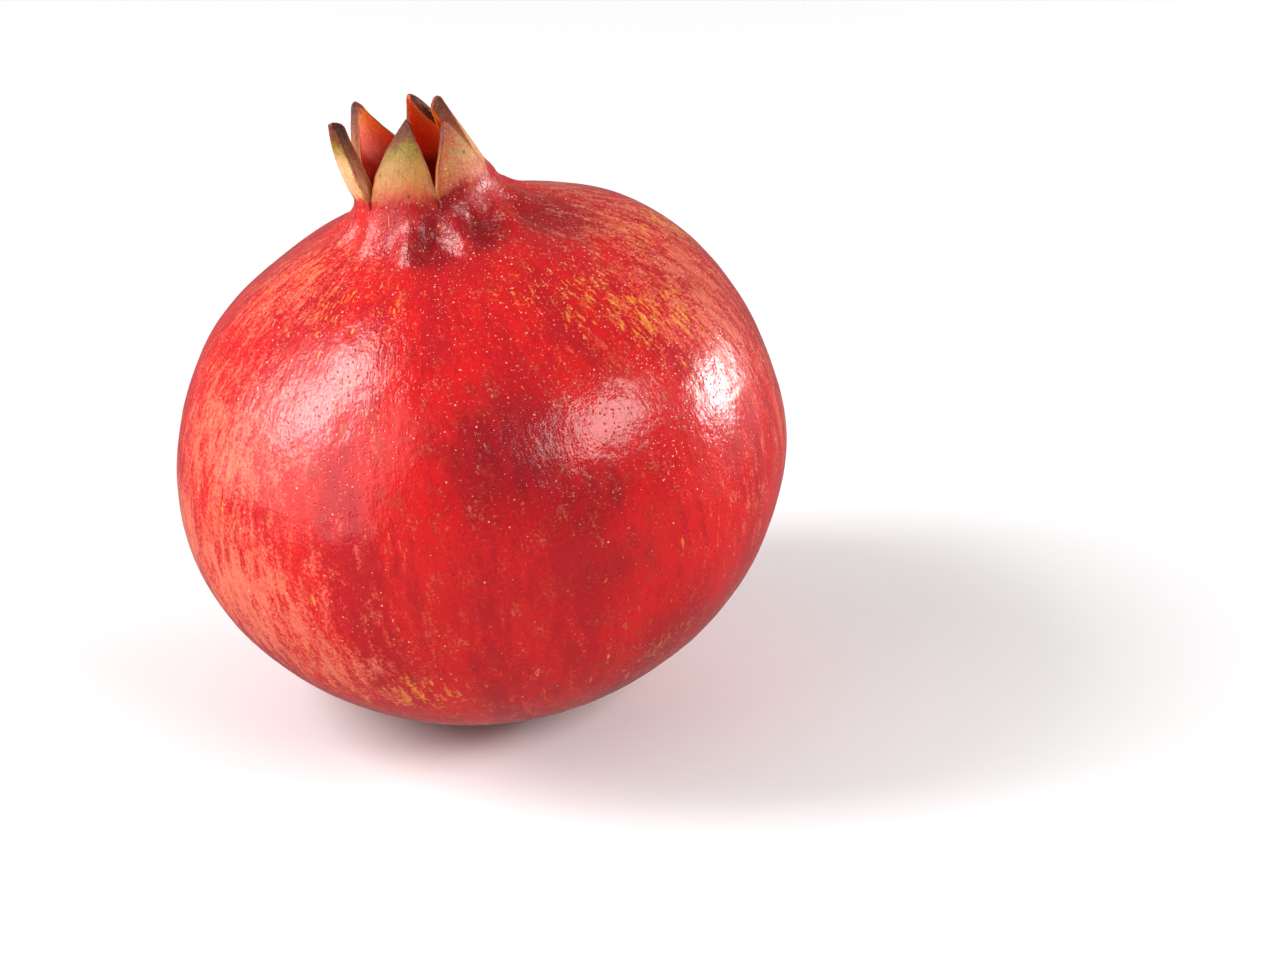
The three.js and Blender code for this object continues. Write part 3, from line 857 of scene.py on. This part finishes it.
# Dried stamens: brittle brown threads and anthers, dull all over
def makeStamenMaterial():
    material = bpy.data.materials.new("dried stamen")
    material.use_nodes = True
    tree = material.node_tree
    tree.nodes.clear()
    coordinates = addNode(tree, "ShaderNodeTexCoord", {}, {})
    inMm = addNode(tree, "ShaderNodeMapping", {},
                   {"Vector": coordinates.outputs["Object"], "Scale": (1 / mm, 1 / mm, 1 / mm)})
    patches = addNode(tree, "ShaderNodeTexNoise", {},
                      {"Vector": inMm, "Scale": stamens["patchScale"], "Detail": 3.0})
    brown = addNode(tree, "ShaderNodeValToRGB", {"stops": stamens["browns"]}, {0: patches})
    crumple = addNode(tree, "ShaderNodeTexNoise", {},
                      {"Vector": inMm, "Scale": stamens["crumpleScale"], "Detail": 2.0})
    relief = addNode(tree, "ShaderNodeBump", {},
                     {"Height": crumple, "Distance": stamens["crumpleDepth"] * mm})
    shader = addNode(tree, "ShaderNodeBsdfPrincipled", {},
                     {"Base Color": brown, "Roughness": stamens["roughness"], "Normal": relief})
    addNode(tree, "ShaderNodeOutputMaterial", {}, {"Surface": shader})
    return material


def growStamens():
    tree = stamenTree()
    holder = bpy.data.objects.new("stamenHolder", bpy.data.meshes.new("stamenHolder"))
    bpy.context.scene.collection.objects.link(holder)
    modifier = holder.modifiers.new("stamens", "NODES")
    modifier.node_group = tree
    values = {"Count": stamens["count"], "Thread Radius": stamens["threadRadius"],
              "Anther Radius": stamens["antherRadius"], "Seed": stamens["seed"],
              "Material": makeStamenMaterial()}
    for item in tree.interface.items_tree:
        if item.in_out == "INPUT":
            modifier[item.identifier] = values[item.name]
    evaluated = holder.evaluated_get(bpy.context.evaluated_depsgraph_get())
    mesh = bpy.data.meshes.new_from_object(evaluated)
    bpy.data.objects.remove(holder)
    places = np.empty(len(mesh.vertices) * 3)
    mesh.vertices.foreach_get("co", places)
    mesh.vertices.foreach_set("co", stand(places.reshape(-1, 3)).ravel())
    mesh.shade_smooth()
    mesh.update()
    tuft = bpy.data.objects.new("stamens", mesh)
    bpy.context.scene.collection.objects.link(tuft)
    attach(tuft, "root")
    return tuft


tuft = growStamens()
print("stamens made:", len(tuft.data.polygons), "faces")


# Camera, light and floor
view = {
    "lens": 100,
    "distance": 555,
    "elevation": 25,  # degrees
    "aimRight": 24.4,  # the fruit stands left of the middle of the frame
    "aimDown": 5.2,
}
tilt = math.radians(view["elevation"])
viewRight = Vector((1, 0, 0))
viewBack = Vector((0, -math.cos(tilt), math.sin(tilt)))
viewUp = viewBack.cross(viewRight)

cameraData = bpy.data.cameras.new("studioCamera")
cameraData.lens = view["lens"]
cameraData.clip_start = 0.01
cameraData.clip_end = 30
camera = bpy.data.objects.new("studioCamera", cameraData)
bpy.context.scene.collection.objects.link(camera)
camera.location = (centre + viewBack * view["distance"]) * mm
aim = (centre + viewRight * view["aimRight"] - viewUp * view["aimDown"]) * mm
camera.rotation_euler = (aim - camera.location).to_track_quat("-Z", "Y").to_euler()
bpy.context.scene.camera = camera

# Softboxes: direction from the fruit as right, up and back of the camera view, distance and size in mm,
# and how bright the face is. They face the fruit, except the one that hangs over the floor behind it.
softboxes = {
    "leftWall": {"towards": (-0.86, 0.22, 0.36), "distance": 1300, "size": (1800, 1500), "bright": 2.0},
    "leftSoftbox": {"towards": (-0.82, 0.52, 0.30), "distance": 700, "size": (200, 480), "bright": 15.5},
    "rightSoftbox": {"towards": (0.91, 0.31, -0.24), "distance": 700, "size": (230, 135), "bright": 26},
    "frontRightPanel": {"towards": (0.63, 0.32, 0.71), "distance": 700, "size": (430, 220), "bright": 9.5},
    "rightWall": {"towards": (0.95, 0.25, -0.20), "distance": 1400, "size": (1300, 1100), "bright": 0.45},
    "farPanel": {"towards": (0.1, 0.95, -0.75), "distance": 2100, "size": (2600, 1600), "bright": 1.8,
                 "faces": (0, 0, -1)},
}
for name, box in softboxes.items():
    right, up, back = box["towards"]
    direction = (viewRight * right + viewUp * up + viewBack * back).normalized()
    faces = Vector(box.get("faces", -direction))
    data = bpy.data.lights.new(name, "AREA")
    data.shape = "RECTANGLE"
    data.size, data.size_y = (side * mm for side in box["size"])
    data.energy = box["bright"] * math.pi * data.size * data.size_y
    lamp = bpy.data.objects.new(name, data)
    bpy.context.scene.collection.objects.link(lamp)
    lamp.location = (centre + direction * box["distance"]) * mm
    lamp.rotation_euler = faces.to_track_quat("-Z", "Y").to_euler()
    lamp.visible_camera = False
    lamp.visible_glossy = name != "farPanel"

studio = {
    "airColour": "#FFFFFF",
    "backdrop": 1.0,  # how bright the camera sees the air
    "fill": 0.2,  # and how brightly it lights the fruit
    "floorReach": 1.3,  # metres
    "floorColour": "#E7E7E7",
    "floorRoughness": 0.8,
}
world = bpy.data.worlds.new("studio")
world.use_nodes = True
air = world.node_tree
air.nodes.clear()
seen = addNode(air, "ShaderNodeLightPath", {}, {}).outputs["Is Camera Ray"]
white = linear(studio["airColour"])
dim = addNode(air, "ShaderNodeBackground", {}, {"Color": white, "Strength": studio["fill"]})
bright = addNode(air, "ShaderNodeBackground", {}, {"Color": white, "Strength": studio["backdrop"]})
backdrop = addNode(air, "ShaderNodeMixShader", {}, {0: seen, 1: dim, 2: bright})
addNode(air, "ShaderNodeOutputWorld", {}, {"Surface": backdrop})
bpy.context.scene.world = world
bpy.context.scene.view_settings.view_transform = "Standard"

floorMesh = bpy.data.meshes.new("floor")
reach = studio["floorReach"]
corners = [(-reach, -reach, 0), (reach, -reach, 0), (reach, reach, 0), (-reach, reach, 0)]
floorMesh.from_pydata(corners, [], [(0, 1, 2, 3)])
floor = bpy.data.objects.new("floor", floorMesh)
bpy.context.scene.collection.objects.link(floor)
paper = bpy.data.materials.new("matt white paper")
paper.use_nodes = True
surface = paper.node_tree.nodes["Principled BSDF"].inputs
surface["Base Color"].default_value = linear(studio["floorColour"])
surface["Roughness"].default_value = studio["floorRoughness"]
floorMesh.materials.append(paper)
floor.visible_glossy = False  # the gloss of the rind stays clear of it
print("studio ready")
